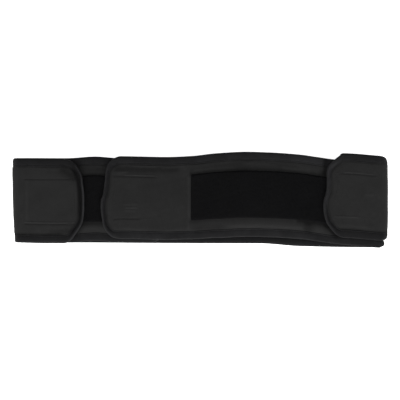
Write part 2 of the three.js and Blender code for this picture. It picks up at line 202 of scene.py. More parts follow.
def makeLine(runs, atLeft, atRight, drawn=((0, 0), (1, 0))):
    rows = np.concatenate(runs)
    walked = walkedAlong(rows)
    return {"rows": rows, "walked": walked, "atLeft": atLeft, "atRight": atRight, "drawn": drawn}


def lay(band, along, across, off):  # from the flat cloth to where it lies
    along, across, off = np.broadcast_arrays(along, across, off)
    line = band["line"]
    x, z, nx, nz, shift, bow = (
        np.interp(along, line["walked"], line["rows"][:, i]) for i in range(6)
    )
    size = np.hypot(nx, nz)
    share = 2 * across / belt["width"]
    rise = off + bow * (1 - share**2)
    drawn = smooth(line["drawn"], line["walked"][-1] - along)
    y = across + shift + belt["toMiddle"] + drawn * (1 - share) / 2
    out = np.where(nx < 0, smooth(line["atLeft"], share), smooth(line["atRight"], share))
    return np.stack([x + nx / size * (rise + out), y, z + nz / size * rise], -1)


def mainLine():  # from the hidden end, down the left fold, along the back, up and to the flap
    middle = (bandFrontHeight + bandBackHeight) / 2
    hiddenEnd = leftOutside + belt["hiddenReach"]
    flapEnd = leftOutside + belt["flapReach"]
    stepUp = topHeight - bandFrontHeight
    toStrapTip = belt["foldedLength"] - belt["rightStrapReach"]
    return makeLine([
        stretch(hiddenStretch, hiddenEnd, leftBandFold, bandFrontHeight, 1),
        fold(leftBandFold, middle, bandFoldRadius, -1, shiftOf(backStretch[0])),
        stretch(backStretch, leftBandFold, rightBandFold, bandBackHeight, -1),
        fold(rightBandFold, middle, bandFoldRadius, 1, shiftOf(backStretch[-1])),
        stretch(frontStretch, rightBandFold, flapEnd, bandFrontHeight, 1, stepUp, toStrapTip),
    ], leftFold, bandRightFold, flapDrawn)


def strapLine(side, back, front, reach):  # from the sewn end under the back, round its fold
    edge = side * belt["foldedLength"] / 2
    foldAt, middle = edge - side * strapFoldInset, (topHeight + strapBackHeight) / 2
    sewnEnd, tip = foldAt - side * belt["strapBack"], edge - side * reach
    runs = (  # worked out in the main band's direction, which is backwards in the left strap
        stretch(back, *sorted((sewnEnd, foldAt)), strapBackHeight, -1),
        fold(foldAt, middle, strapFoldRadius, side, shiftOf(back[0 if side < 0 else -1])),
        stretch(front, *sorted((foldAt, tip), reverse=True), topHeight, 1),
    )
    return makeLine([run[::side] for run in runs], leftFold, strapRightFold)


# The outline of the flat cloth, and the binding round it
edging = {
    "width": 0.012,          # on each face, along the straight edges
    "tipWidth": 0.008,       # and round the ends
    "wall": 0.001,
    "pressed": 0.0012,       # thickness of the cloth inside the binding
    "tipPressed": 0.0003,    # how much thinner each face is pressed round the ends
    "tipWallDrop": 0.0005,   # how much lower the binding's inner wall lies there
    "clothInset": 0.0013,    # from the outline to the cloth's edge inside the binding
    "step": 0.002,           # fineness along the outline
    "coarse": 1.8,           # how many times longer a step is on the hidden stretches
    "tipRungs": 56,
    "lastTipAngle": 88,      # degrees
    "seam": 0.0020,          # from the binding's inner edge to its stitches
    "highlightAt": 0.0014,      # from the outline to the middle of its painted highlight
    "valleyAt": 0.0058,      # and to the middle of the painted shade in the valley round the ends
    "waves": 0.00014,        # height of its slow waves
    "waveSizes": (0.03, 0.008),
    "waveSpan": 0.01,        # that they run through from its inner edge to the fold
    "crimp": 0.00005,        # small dents along the stitches
    "crimpAt": 0.36,         # share of the way from the inner edge to the outline
    "crimpWidth": 0.12,
}


def tipShortfall(across, shape):  # how far a rounded end stops short of its tip
    even = 1 - np.sqrt(np.maximum(0, 1 - across**2))
    return belt["tipDepth"] * (even + smooth(shape, across))


def bandShade(shade, fromTip, towardsTop, tipness):  # painted light and shade of the binding along the outline
    atTop, atBottom, atEdge = (smooth(shade["hemShades"], fromTip, column) for column in (1, 2, 3))
    atTip = smooth(shade["tipHighlight"], towardsTop)
    return {
        "valleyShade": smooth(shade["valleyShade"], towardsTop) * tipness,
        "valleyShadeWidth": shade["valleyShadeWidth"],
        "hemShade": (atTop * (1 + towardsTop) + atBottom * (1 - towardsTop)) / 2,
        "paintedHighlight": atEdge * (1 - towardsTop) / 2 + atTip * tipness,
    }


def makeBand(line, startRound, shape, shade, seed, fineFrom=0.0):
    # Rungs across the flat cloth from its start to its end, each with two edge points, and the
    # outline walked along the bottom edge and back along the top.
    length = line["walked"][-1]
    depth, half = belt["tipDepth"], belt["width"] / 2
    angles = np.radians(edging["lastTipAngle"]) * np.linspace(0, 1, edging["tipRungs"] + 1)
    share = np.cos(angles)
    first = depth if startRound else 0.0
    last = length - depth
    stops = [first]
    while stops[-1] < last - edging["step"] * 1.5:
        times = 1 if stops[-1] > fineFrom else edging["coarse"]
        stops.append(stops[-1] + edging["step"] * times)
    stops[-1] = last
    middle = np.array(stops[1:-1]) if startRound else np.array(stops[:-1])

    def edges(shape):
        low, high = tipShortfall(-share, shape), tipShortfall(share, shape)
        bottom, top = [middle, length - low], [middle, length - high]
        if startRound:
            plainLow, plainHigh = tipShortfall(-share, evenTip), tipShortfall(share, evenTip)
            bottom.insert(0, plainLow[::-1])
            top.insert(0, plainHigh[::-1])
        return np.concatenate(bottom), np.concatenate(top)

    ones = np.ones(len(middle))
    tipShares = np.concatenate(([share[::-1]] if startRound else []) + [ones, share])

    def outline(shape):
        bottom, top = edges(shape)
        low = np.stack([bottom, -half * tipShares], 1)
        high = np.stack([top, half * tipShares], 1)
        return np.concatenate([low, high[::-1]])

    points, plain = outline(shape), outline(evenTip)
    if startRound:
        way = np.roll(plain, -1, 0) - np.roll(plain, 1, 0)
    else:
        way = np.gradient(plain, axis=0)
    way /= np.hypot(way[:, 0], way[:, 1])[:, None]
    tipness = way[:, 1] ** 2
    if not startRound:  # the sewn end is cut straight
        tipness[:3] = tipness[-3:] = 0
    width = edging["width"] + (edging["tipWidth"] - edging["width"]) * tipness
    # Inwards, the outline shrinks like an ellipse, so its lines never cross inside a corner.
    turned = np.sin(angles)
    straight = np.zeros(len(middle))
    inwardAlong = np.concatenate(([turned[::-1]] if startRound else []) + [straight, -turned])
    inward = np.concatenate([
        np.stack([inwardAlong, tipShares], 1),
        np.stack([inwardAlong, -tipShares], 1)[::-1],
    ])
    return {
        "line": line, "length": length, "round": startRound, "rungs": len(tipShares),
        "shape": shape, "endShares": np.concatenate([np.ones(len(tipShares) - len(share)), share]),
        "points": points, "inward": inward, "tipness": tipness, "width": width, "seed": seed,
        "walked": walkedAlong(points),
        **bandShade(shade, length - points[:, 0], points[:, 1] / half, tipness),
    }


def unevenness(along, across, longest, shortest, seed, count=10):  # smooth, about -1 to 1
    chance = np.random.default_rng(seed)
    total = np.zeros(np.broadcast(along, across).shape)
    for _ in range(count):
        size = shortest * (longest / shortest) ** chance.random()
        turn, phase = chance.random() * math.tau, chance.random() * math.tau
        at = along * math.cos(turn) + across * math.sin(turn)
        total += np.sin(at * math.tau / size + phase)
    return total / math.sqrt(count)


def groove(along, across, start, end, width):  # 1 on a line between two flat places, 0 beside it
    run = np.array(end) - np.array(start)
    length = math.hypot(*run)
    along, across = along - start[0], across - start[1]
    t = np.clip((along * run[0] + across * run[1]) / length**2, 0, 1)
    apart = np.hypot(along - t * run[0], across - t * run[1])
    return np.exp(-((apart / width) ** 2))


padding = {
    "waves": 0.00022,       # height of its slow waves
    "waveSizes": (0.09, 0.03),
    "ripples": 0.00008,     # and of its small ones
    "rippleSizes": (0.02, 0.007),
    "tucked": 0.0012,       # how far inside the binding it starts to rise
    "shoulder": 0.0022,     # and how far beside it the rise goes on
    "tipShoulder": 0.0012,  # how much further round the ends
    "swell": 0.00035,       # a little more height towards the middle
    "swellReach": 0.012,
    "pucker": 0.00016,      # beside the stitches
    "puckerPitch": 0.0075,
    "puckerReach": 0.005,
    "wanderSizes": (0.05, 0.02),  # how the puckers stray from their pitch
    "softReach": 0.002,     # beside the binding, where all this sets in
}


def relief(band, along, across, side):  # how far the padding stands proud of its plain thickness
    fromTip, seed = band["length"] - along, band["seed"] + side
    height = padding["waves"] * unevenness(along, across, *padding["waveSizes"], seed)
    ripples = unevenness(along, across, *padding["rippleSizes"], seed + 2)
    height = height + padding["ripples"] * ripples
    if side < 0:
        return height
    for start, end, width, depth, _ in band["creases"]:
        height = height + depth * groove(fromTip, across, start, end, width)
    return height


# painted light and shade of the creases
def paintedCreaseShading(band, along, across):
    paintedShading, fromTip = 0, band["length"] - along
    for start, end, reach, _, shade in band["creases"]:
        paintedShading = paintedShading + shade * groove(fromTip, across, start, end, reach)
    return paintedShading


def padHeight(band, along, across, inset, width, tipness, side):
    # Half the cloth's thickness: pressed flat in the binding, then swelling to a soft shoulder.
    past, tucked = inset - width, padding["tucked"]
    shoulder = padding["shoulder"] + padding["tipShoulder"] * tipness
    rise = np.clip((past + tucked) / (shoulder + tucked), 0, 1)
    pressed = edging["pressed"] / 2 - edging["tipPressed"] * tipness
    body = pressed + (thickness / 2 - pressed) * np.sqrt(np.clip(1 - (1 - rise) ** 2, 0, 1))
    wander = 2 * unevenness(along, across, *padding["wanderSizes"], seed=7, count=4)
    pucker = padding["pucker"] * np.sin(along * math.tau / padding["puckerPitch"] + wander)
    pucker = pucker * np.exp(-np.maximum(past, 0) / padding["puckerReach"]) * (past > 0)
    soft = relief(band, along, across, side) + pucker
    soft = soft * np.clip(past / padding["softReach"], 0, 1)
    swell = np.clip(past / padding["swellReach"], 0, 1)
    return body + soft + padding["swell"] * swell * (2 - swell)


plainTone = 0.5  # 0 is painted shade as dark as a crevice, 1 a painted highlight as on a lit rolled edge


def newPiece(name, vertices, faces, flat, material, paintedShading=plainTone):
    vertices = np.asarray(vertices, float)
    vertices[:, 2] = np.maximum(vertices[:, 2], 0.0)  # pressed flat where it rests
    faces = [tuple(face) for face in faces]
    triangles = np.array([face[:3] for face in faces])
    a, b, c = (vertices[triangles[:, i]] for i in range(3))
    if np.einsum("ij,ij->i", a, np.cross(b, c)).sum() < 0:
        faces = [face[::-1] for face in faces]
    mesh = bpy.data.meshes.new(name)
    mesh.from_pydata(vertices.tolist(), [], faces)
    corner = np.zeros(len(mesh.loops), int)
    mesh.loops.foreach_get("vertex_index", corner)
    layer = mesh.uv_layers.new(name="flat")
    layer.data.foreach_set("uv", np.asarray(flat, np.float32)[corner].ravel())
    mesh.polygons.foreach_set("use_smooth", [True] * len(mesh.polygons))
    # painted light and shade, one value at each vertex
    shade = mesh.attributes.new("paintedShading", "FLOAT", "POINT")
    shade.data.foreach_set("value", np.broadcast_to(np.asarray(paintedShading, np.float32), len(vertices)))
    mesh.materials.append(material)
    mesh.validate()
    piece = bpy.data.objects.new(name, mesh)
    bpy.context.collection.objects.link(piece)
    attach(piece, "root")
    return piece


def gridFaces(rows, columnCount, start=0, flip=False):
    i, j = np.meshgrid(np.arange(rows - 1), np.arange(columnCount - 1), indexing="ij")
    a = (start + i * columnCount + j).ravel()
    quads = np.stack([a, a + columnCount, a + columnCount + 1, a + 1], 1)
    return quads[:, ::-1] if flip else quads


def slabSides(rows, count):  # an upper and a lower grid, and the walls along both of their sides
    lower = rows * count
    i = np.arange(rows - 1) * count
    j = i + count - 1
    return [
        gridFaces(rows, count), gridFaces(rows, count, lower, True),
        np.stack([i, i + lower, i + lower + count, i + count], 1),
        np.stack([j, j + count, j + lower + count, j + lower], 1),
    ]


def slabFaces(rows, count, roundStart):  # both grids joined into one closed slab
    lower = rows * count
    faces = [tuple(face) for part in slabSides(rows, count) for face in part.tolist()]

    def close(first, isRound, turn):
        end, below = [], first + lower
        if isRound:
            half = count // 2
            for j in range(half - 1):
                k = count - 1 - j
                end.append((first + j, first + j + 1, first + k - 1, first + k))
                end.append((below + j, below + k, below + k - 1, below + j + 1))
            end.append((first + half - 1, first + half, first + half + 1))
            end.append((below + half - 1, below + half + 1, below + half))
            end.append((first, first + count - 1, below + count - 1, below))
        else:
            for j in range(count - 1):
                end.append((first + j, first + j + 1, below + j + 1, below + j))
        faces.extend(face[::-1] if turn else face for face in end)

    close(0, roundStart, False)
    close((rows - 1) * count, True, True)
    return faces


# Columns of the cloth's mesh: beside the binding, by distance from its inner edge, and across
# the face, closer together where seams and wrinkles run (where, how far, how much closer)
borderColumns = np.array([
    -0.0108, -0.006, -0.0025, -0.0010, -0.0002, 0.0006, 0.0014, 0.0024, 0.0036, 0.0052, 0.007,
])
closerColumns = ((0.031, 0.004, 3), (-0.031, 0.004, 3), (-0.0145, 0.006, 1.5))
faceColumnCount = 51
faceHalf = 0.0415  # half the width between the inmost columns beside the binding


def faceColumns():  # shares of the way across the face
    across = np.linspace(-faceHalf, faceHalf, 400)
    density = np.ones(len(across))
    for middle, reach, gain in closerColumns:
        density += gain * np.exp(-(((across - middle) / reach) ** 2))
    walked = np.cumsum(density)
    even = np.linspace(walked[0], walked[-1], faceColumnCount + 2)[1:-1]
    return np.interp(even, walked, across / (2 * faceHalf) + 0.5)


# Painted shade in the crevice between the cloth and the binding, darker beside the valley and
# wider at the ends
creviceShade = {"dark": 0.10, "byValley": 0.6, "width": 0.0012, "tipWider": 0.0008}


def paddedCloth(name, band, material):
    rungs = band["rungs"]
    points, inward, width = band["points"], band["inward"], band["width"]
    past, blend = borderColumns, faceColumns()

    def edgeSteps(edge):
        wide = width[edge][:, None]
        tucked = wide + past * (wide - edging["clothInset"]) / -past[0]
        inset = np.where(past < 0, tucked, wide + past)
        return points[edge][:, None] + inward[edge][:, None] * inset[..., None], inset

    bottom, top = np.arange(rungs), np.arange(2 * rungs - 1, rungs - 1, -1)
    (low, lowInset), (high, highInset) = edgeSteps(bottom), edgeSteps(top)
    middle = low[:, -1:] * (1 - blend[:, None]) + high[:, -1:] * blend[:, None]
    share, shape = band["endShares"][:, None], band["shape"]
    straight = smooth(shape, -share) * (1 - blend) + smooth(shape, share) * blend
    followed = smooth(shape, (2 * blend - 1) * share)
    middle[..., 0] -= belt["tipDepth"] * (followed - straight) * (1 - share**2)
    flat = np.concatenate([low, middle, high[:, ::-1]], 1)
    half = np.minimum(blend, 1 - blend) * belt["width"]
    middleInset = lowInset[:, -1:] + half[None, :] * np.ones((rungs, 1))
    inset = np.concatenate([lowInset, middleInset, highInset[:, ::-1]], 1)

    def spread(value):
        k = len(past)
        ends = [np.repeat(value[bottom][:, None], k, 1), np.repeat(value[top][:, None], k, 1)]
        mean = value[bottom][:, None] * (1 - blend) + value[top][:, None] * blend
        return np.concatenate([ends[0], mean, ends[1]], 1)

    wide, tip = spread(width), spread(band["tipness"])
    along, across = flat[..., 0], flat[..., 1]
    upper = padHeight(band, along, across, inset, wide, tip, 1)
    lower = padHeight(band, along, across, inset, wide, tip, -1)
    count = flat.shape[1]
    vertices = np.concatenate([
        lay(band, along, across, upper).reshape(-1, 3),
        lay(band, along, across, -lower).reshape(-1, 3),
    ])
    uv = np.concatenate([flat.reshape(-1, 2)] * 2)
    # painted shade falling into the crevice beside the binding
    shadeDepth = creviceShade["dark"] + creviceShade["byValley"] * spread(band["valleyShade"])
    reach = creviceShade["width"] + creviceShade["tipWider"] * tip
    paintedShading = plainTone - shadeDepth * np.exp(-((np.maximum(inset - wide, 0) / reach) ** 2))
    # and the creases' painted light and shade on the front face
    front = paintedShading + paintedCreaseShading(band, along, across)
    paintedShading = np.concatenate([front.ravel(), paintedShading.ravel()])
    return newPiece(name, vertices, slabFaces(rungs, count, band["round"]), uv, material, paintedShading)


# One face of the binding from its inner edge out to the fold: place and height. Round the ends
# it becomes a narrow raised roll with a valley inside it.
straightSection = (
    (-0.0000, -0.0007), (-0.0003, -0.0001), (-0.0009, 0.0001), (-0.0016, -0.0001),
    (-0.0020, -0.0003), (-0.0024, -0.0001), (-0.0034, 0.0001), (-0.0060, 0.0001),
    (-0.0090, 0.0001), (-0.0106, -0.0002), (-0.0115, -0.0008), (-0.0118, -0.0014),
)
tipSection = (
    (-0.0000, -0.0011), (-0.0004, -0.0011), (-0.0010, -0.0012), (-0.0017, -0.0013),
    (-0.0025, -0.0013), (-0.0034, -0.0011), (-0.0042, -0.0005), (-0.0051, 0.0002),
    (-0.0061, 0.0004), (-0.0070, -0.0001), (-0.0076, -0.0008), (-0.0078, -0.0014),
)
seamRow = 4  # of the section, where the stitches lie


def bindingSection(tipness, width):
    top = edging["pressed"] / 2 + belt["clearance"] + edging["wall"]
    straight, tip = np.array(straightSection), np.array(tipSection)
    t = np.asarray(tipness)[:, None]
    inset = width[:, None] + straight[:, 0] * (1 - t) + tip[:, 0] * t
    height = top + straight[:, 1] * (1 - t) + tip[:, 1] * t
    return inset, height


def binding(name, band, material):
    points, inward, walked = band["points"], band["inward"], band["walked"]
    inset, height = bindingSection(band["tipness"], band["width"])
    count, shares = len(points), np.linspace(0, 1, inset.shape[1])
    bulge = np.sin(shares * math.pi)
    over = shares * edging["waveSpan"]
    wave = unevenness(walked[:, None], over, *edging["waveSizes"], band["seed"] + 5)
    wave = edging["waves"] * wave
    crimp = np.sin(walked[:, None] * math.tau / stitch["pitch"])
    crimp = crimp * np.exp(-((shares - edging["crimpAt"]) / edging["crimpWidth"]) ** 2)
    upper = height + bulge * wave + edging["crimp"] * crimp
    lower = height + bulge * wave[::-1] + edging["crimp"] * crimp
    roll = np.zeros((count, 1))
    inside = edging["pressed"] / 2 + belt["clearance"]
    wallInset = np.stack([band["width"], np.full(count, edging["wall"])], 1)
    insets = np.concatenate([inset, roll, inset[:, ::-1], wallInset, wallInset[:, ::-1]], 1)
    wall = np.repeat(inside - edging["tipWallDrop"] * band["tipness"][:, None], 2, 1)
    offs = np.concatenate([upper, roll, -lower[:, ::-1], -wall, wall], 1)
    flat = points[:, None] + inward[:, None] * insets[..., None]
    vertices = lay(band, flat[..., 0], flat[..., 1], offs).reshape(-1, 3)
    corners = insets.shape[1]
    steps = np.hypot(np.diff(insets, axis=1), np.diff(offs, axis=1))
    around = np.concatenate([np.zeros((count, 1)), np.cumsum(steps, 1)], 1)
    uv = np.stack([np.repeat(walked[:, None], corners, 1), around], -1).reshape(-1, 2)
    # A painted highlight along the fold, strongest round the ends, and painted shade in the valley
    # there
    paintedHighlight = np.exp(-((insets / edging["highlightAt"] - 1) ** 2)) * band["paintedHighlight"][:, None]
    # painted shade in the valley round the ends
    valleyShade = np.exp(-(((insets - edging["valleyAt"]) / band["valleyShadeWidth"]) ** 2))
    # the creases' painted light and shade also reach the binding's upper face
    creaseShading = paintedCreaseShading(band, flat[..., 0], flat[..., 1]) * (offs > 0)
    paintedShading = plainTone + band["hemShade"][:, None] + paintedHighlight - valleyShade * band["valleyShade"][:, None] + creaseShading
    paintedShading = np.maximum(paintedShading, 0).ravel()
    faces = []
    last = count if band["round"] else count - 1
    for i in range(last):
        a, b = i * corners, (i + 1) % count * corners
        for j in range(corners):
            k = (j + 1) % corners
            faces.append((a + j, a + k, b + k, b + j))
    if not band["round"]:
        end = (count - 1) * corners
        faces.append(tuple(range(corners - 1, -1, -1)))
        faces.append(tuple(range(end, end + corners)))
    return newPiece(name, vertices, faces, uv, material, paintedShading)


# One stitch is modelled once, and each seam is many copies of it
stitch = {
    "length": 0.0024,
    "pitch": 0.0031,
    "near": 0.0005,       # how far to each side its direction is read
    "radius": 0.00021,
    "sides": 6,
    "bendAt": 0.32,       # share of its length from the middle, where its ends start to dip
    "endSize": 0.45,      # share of its thickness left there
    "endDip": 0.9,        # shares of its radius from here on
    "aboveTape": 0.5,
    "aboveCloth": 0.4,
}


def modelStitch():
    bpy.ops.object.select_all(action="DESELECT")
    bpy.ops.mesh.primitive_cylinder_add(
        vertices=stitch["sides"], radius=stitch["radius"], depth=stitch["length"],
        rotation=(0, math.pi / 2, 0),
    )
    one = bpy.context.object
    bpy.ops.object.transform_apply(location=False, rotation=True, scale=False)
    bpy.ops.object.mode_set(mode="EDIT")
    bend = stitch["length"] * stitch["bendAt"]
    for cut in (bend, -bend):
        bpy.ops.mesh.select_all(action="SELECT")
        bpy.ops.mesh.bisect(plane_co=(cut, 0, 0), plane_no=(1, 0, 0))
    bpy.ops.object.mode_set(mode="OBJECT")
    vertices = np.array([v.co[:] for v in one.data.vertices])
    ends = np.abs(vertices[:, 0]) > (bend + stitch["length"] / 2) / 2
    vertices[ends, 1:] *= stitch["endSize"]
    vertices[ends, 2] -= stitch["radius"] * stitch["endDip"]
    faces = [tuple(face.vertices) for face in one.data.polygons]
    bpy.data.objects.remove(one)
    return vertices, faces


def walkLine(points, pitch):  # evenly spaced places on a flat line, with its direction there
    walked = walkedAlong(points)
    count = int(walked[-1] / pitch)
    at = (np.arange(count) + 0.5) * walked[-1] / count

    def placeAt(at):
        return np.stack([np.interp(at, walked, points[:, i]) for i in range(2)], 1)

    way = placeAt(at + stitch["near"]) - placeAt(at - stitch["near"])
    return placeAt(at), way / np.hypot(way[:, 0], way[:, 1])[:, None], at


def stitches(name, band, seams, material):  # seams: flat points, side, and height and tone there
    base, baseFaces = modelStitch()
    vertices, faces, uv, tones = [], [], [], []
    total = 0
    for points, side, heightAt, toneAt in seams:
        place, way, at = walkLine(np.asarray(points, float), stitch["pitch"])
        beside = np.stack([-way[:, 1], way[:, 0]], 1)
        flat = place[:, None] + way[:, None] * base[:, :1] + beside[:, None] * base[:, 1:2]
        height = heightAt(place, at)[:, None] + base[:, 2]
        laid = lay(band, flat[..., 0], flat[..., 1], side * height)
        vertices.append(laid.reshape(-1, 3))
        uv.append(flat.reshape(-1, 2))
        tones.append(np.repeat(toneAt(at), len(base)))
        for i in range(len(place)):
            shift = total + i * len(base)
            order = 1 if side > 0 else -1
            faces += [tuple(shift + v for v in face[::order]) for face in baseFaces]
        total += len(place) * len(base)
    vertices, uv, tones = (np.concatenate(parts) for parts in (vertices, uv, tones))
    return newPiece(name, vertices, faces, uv, material, tones)


def edgeSeams(band):  # the binding's stitches on both of its faces
    inset = band["width"] - edging["seam"]
    points = band["points"] + band["inward"] * inset[:, None]
    if band["round"]:
        points = np.concatenate([points, points[:1]])
    _, height = bindingSection(band["tipness"], band["width"])
    walked = walkedAlong(points)
    # the stitches carry the binding's painted light and shade of the hem and the valley
    groundLevel, paintedSeamShade = height[:, seamRow], plainTone + band["hemShade"] - band["valleyShade"]
    if band["round"]:
        groundLevel = np.concatenate([groundLevel, groundLevel[:1]])
        paintedSeamShade = np.concatenate([paintedSeamShade, paintedSeamShade[:1]])

    def heightAt(place, at):
        return np.interp(at, walked, groundLevel) + stitch["radius"] * stitch["aboveTape"]

    def toneAt(at):
        return np.interp(at, walked, paintedSeamShade)

    return [(points, side, heightAt, toneAt) for side in (1, -1)]


def faceSeam(band, start, end, side=1):  # a straight row of stitches on the padding
    def heightAt(place, at):
        inset = belt["width"] / 2 - np.abs(place[:, 1])
        plain = padHeight(band, place[:, 0], place[:, 1], inset, edging["width"], 0, side)
        return plain + stitch["radius"] * stitch["aboveCloth"]

    def toneAt(at):
        return np.full(len(at), plainTone)

    points = np.array([start, end])
    points[:, 0] = band["length"] - points[:, 0]
    return (points, side, heightAt, toneAt)


sheet = {
    "turned": 0.0016,    # width over which a sheet's edge turns down
    "sunk": 0.0004,      # how deep its underside is in the padding
    "napSizes": (0.012, 0.003),
}


def patch(name, band, start, length, side, look, material):
    # A sheet sewn flat to the padding, with its edges turned down onto it.
    width, step = look["width"], look["step"]
    rows, count = int(length / step) + 2, int(width / step) // 2 * 2 + 3
    along = np.linspace(0, length, rows)[:, None]
    across = np.linspace(-width / 2, width / 2, count)[None, :]
    toEdge = np.minimum(np.minimum(along, length - along), width / 2 - np.abs(across))
    edge = np.clip(toEdge / sheet["turned"], 0, 1)
    flatAlong, flatAcross = np.broadcast_arrays(start + along, across)
    plain = thickness / 2 + padding["swell"] + relief(band, flatAlong, flatAcross, side)
    rise = look["height"] * np.sqrt(1 - (1 - edge) ** 2)
    nap = unevenness(flatAlong, flatAcross, *sheet["napSizes"], band["seed"] + 11, count=16)
    outer = lay(band, flatAlong, flatAcross, side * (plain + rise + look["nap"] * nap * edge))
    inner = lay(band, flatAlong, flatAcross, side * (plain - sheet["sunk"]))
    if side < 0:
        outer, inner = inner, outer
    vertices = np.concatenate([outer.reshape(-1, 3), inner.reshape(-1, 3)])
    lower = rows * count
    i = np.arange(count - 1)
    j = i + (rows - 1) * count
    parts = slabSides(rows, count) + [
        np.stack([i, i + 1, i + 1 + lower, i + lower], 1),
        np.stack([j, j + lower, j + 1 + lower, j + 1], 1),
    ]
    faces = [tuple(face) for part in parts for face in part.tolist()]
    uv = np.concatenate([np.stack([flatAlong, flatAcross], -1).reshape(-1, 2)] * 2)
    piece = newPiece(name, vertices, faces, uv, material)
    return piece


# Finishes. The attribute of painted light and shade runs from painted shade as dark as a crevice,
# through the plain cloth, to a painted highlight as on a lit rolled edge, and a slow unevenness is
# added to it. The layers of the bump are waves, with a pitch, a turn in degrees and a distortion,
# and noise, with a size and a detail.
cloth = {  # fine warp knit: its wales run along the belt, its courses across
    "dark": 0.004, "plain": 0.0135, "light": 0.026, "blue": 1.00,
    "rough": 0.85, "gloss": 0.05, "sheen": 0.012, "patchSize": 0.035,
    "layers": (
        ("ADD", "waves", 0.0011, 90, 1.0),
        ("MULTIPLY", "waves", 0.0008, 0, 1.0),
        ("ADD", "noise", 0.0006, 2),
    ),
    "bump": 0.35, "depth": 0.00025,
}
tape = {  # folded stretch tape with a fine rib across it
    "dark": 0.0016, "plain": 0.0072, "light": 0.024, "blue": 1.06,
    "rough": 0.70, "gloss": 0.05, "sheen": 0.012, "patchSize": 0.02,
    "layers": (("ADD", "waves", 0.0009, 0, 0.6), ("ADD", "noise", 0.0005, 2)),
    "bump": 0.3, "depth": 0.0002,
}
pile = {  # brushed loops in tufts
    "dark": 0.0022, "plain": 0.0041, "light": 0.0070, "blue": 1.06,
    "rough": 1.0, "gloss": 0.01, "sheen": 0.0, "patchSize": 0.03,
    "layers": (("ADD", "noise", 0.0022, 4), ("ADD", "noise", 0.0005, 3)),
    "bump": 0.8, "depth": 0.0005,
}
hook = {  # rows of small hooks
    "dark": 0.003, "plain": 0.008, "light": 0.014, "blue": 1.05,
    "rough": 0.5, "gloss": 0.2, "sheen": 0.0, "patchSize": 0.02,
    "layers": (("ADD", "waves", 0.0016, 0, 0), ("MULTIPLY", "waves", 0.0012, 90, 0)),
    "bump": 0.9, "depth": 0.0006,
}
thread = {  # twisted
    "dark": 0.0022, "plain": 0.0110, "light": 0.020, "blue": 1.03,
    "rough": 0.6, "gloss": 0.1, "sheen": 0.0, "patchSize": 0.01,
    "layers": (("ADD", "waves", 0.0005, 35, 0),),
    "bump": 0.4, "depth": 0.0001,
}
uneven = {"share": 0.3, "detail": 5, "rough": 0.6}


def setInputs(tree, node, inputs):  # each to a value, or linked to the output of another node
    for name, value in inputs.items():
        if isinstance(value, bpy.types.NodeSocket):
            tree.links.new(value, node.inputs[name])
        else:
            node.inputs[name].default_value = value


def addNode(tree, kind, inputs, **settings):
    node = tree.nodes.new("ShaderNode" + kind)
    for name, value in settings.items():
        setattr(node, name, value)
    setInputs(tree, node, inputs)
    return node


def combine(tree, operation, *inputs):
    node = addNode(tree, "Math", dict(enumerate(inputs)), operation=operation)
    return node.outputs["Value"]


def addNoise(tree, place, size, detail, rough=0.5):
    inputs = {"Vector": place, "Scale": 1 / size, "Detail": detail, "Roughness": rough}
    return addNode(tree, "TexNoise", inputs).outputs["Fac"]


def addWaves(tree, place, pitch, turn, distortion):
    turned = addNode(tree, "Mapping", {
        "Vector": place, "Rotation": (0, 0, math.radians(turn)), "Scale": (1 / pitch,) * 3,
    })
    return addNode(tree, "TexWave", {
        "Vector": turned.outputs["Vector"],
        "Scale": 2 / math.tau,  # about one wave to a pitch
        "Distortion": distortion,
        "Detail": 1,
    }).outputs["Fac"]


def addColour(tree, place, look):
    slow = addNoise(tree, place, look["patchSize"], uneven["detail"], uneven["rough"])
    centred = combine(tree, "MULTIPLY_ADD", slow, uneven["share"], -uneven["share"] / 2)
    # the painted light and shade of each vertex moves the colour along the ramp
    paintedShading = addNode(tree, "Attribute", {}, attribute_name="paintedShading").outputs["Fac"]
    ramp = addNode(tree, "ValToRGB", {"Fac": combine(tree, "ADD", paintedShading, centred)})
    ramp.color_ramp.elements.new(plainTone)
    for element, name in zip(ramp.color_ramp.elements, ("dark", "plain", "light")):
        element.color = (look[name], look[name], look[name] * look["blue"], 1)
    return ramp.outputs["Color"]


def addBump(tree, place, look):
    height = None
    for operation, kind, *settings in look["layers"]:
        layer = (addWaves if kind == "waves" else addNoise)(tree, place, *settings)
        height = layer if height is None else combine(tree, operation, height, layer)
    inputs = {"Height": height, "Strength": look["bump"], "Distance": look["depth"]}
    return addNode(tree, "Bump", inputs).outputs["Normal"]


def newFinish(name, look):
    material = bpy.data.materials.new(name)
    material.use_nodes = True
    tree = material.node_tree
    place = addNode(tree, "UVMap", {}, uv_map="flat").outputs["UV"]
    setInputs(tree, tree.nodes["Principled BSDF"], {
        "Base Color": addColour(tree, place, look),
        "Normal": addBump(tree, place, look),
        "Roughness": look["rough"],
        "Specular IOR Level": look["gloss"],
        "Sheen Weight": look["sheen"],
        "Sheen Roughness": 0.45,
    })
    return material


knit, bindingTape = newFinish("knit_face", cloth), newFinish("binding_tape", tape)
loopPile, hookTape = newFinish("loop_pile", pile), newFinish("hook_tape", hook)
sewingThread = newFinish("thread", thread)
print("belt: finishes made")
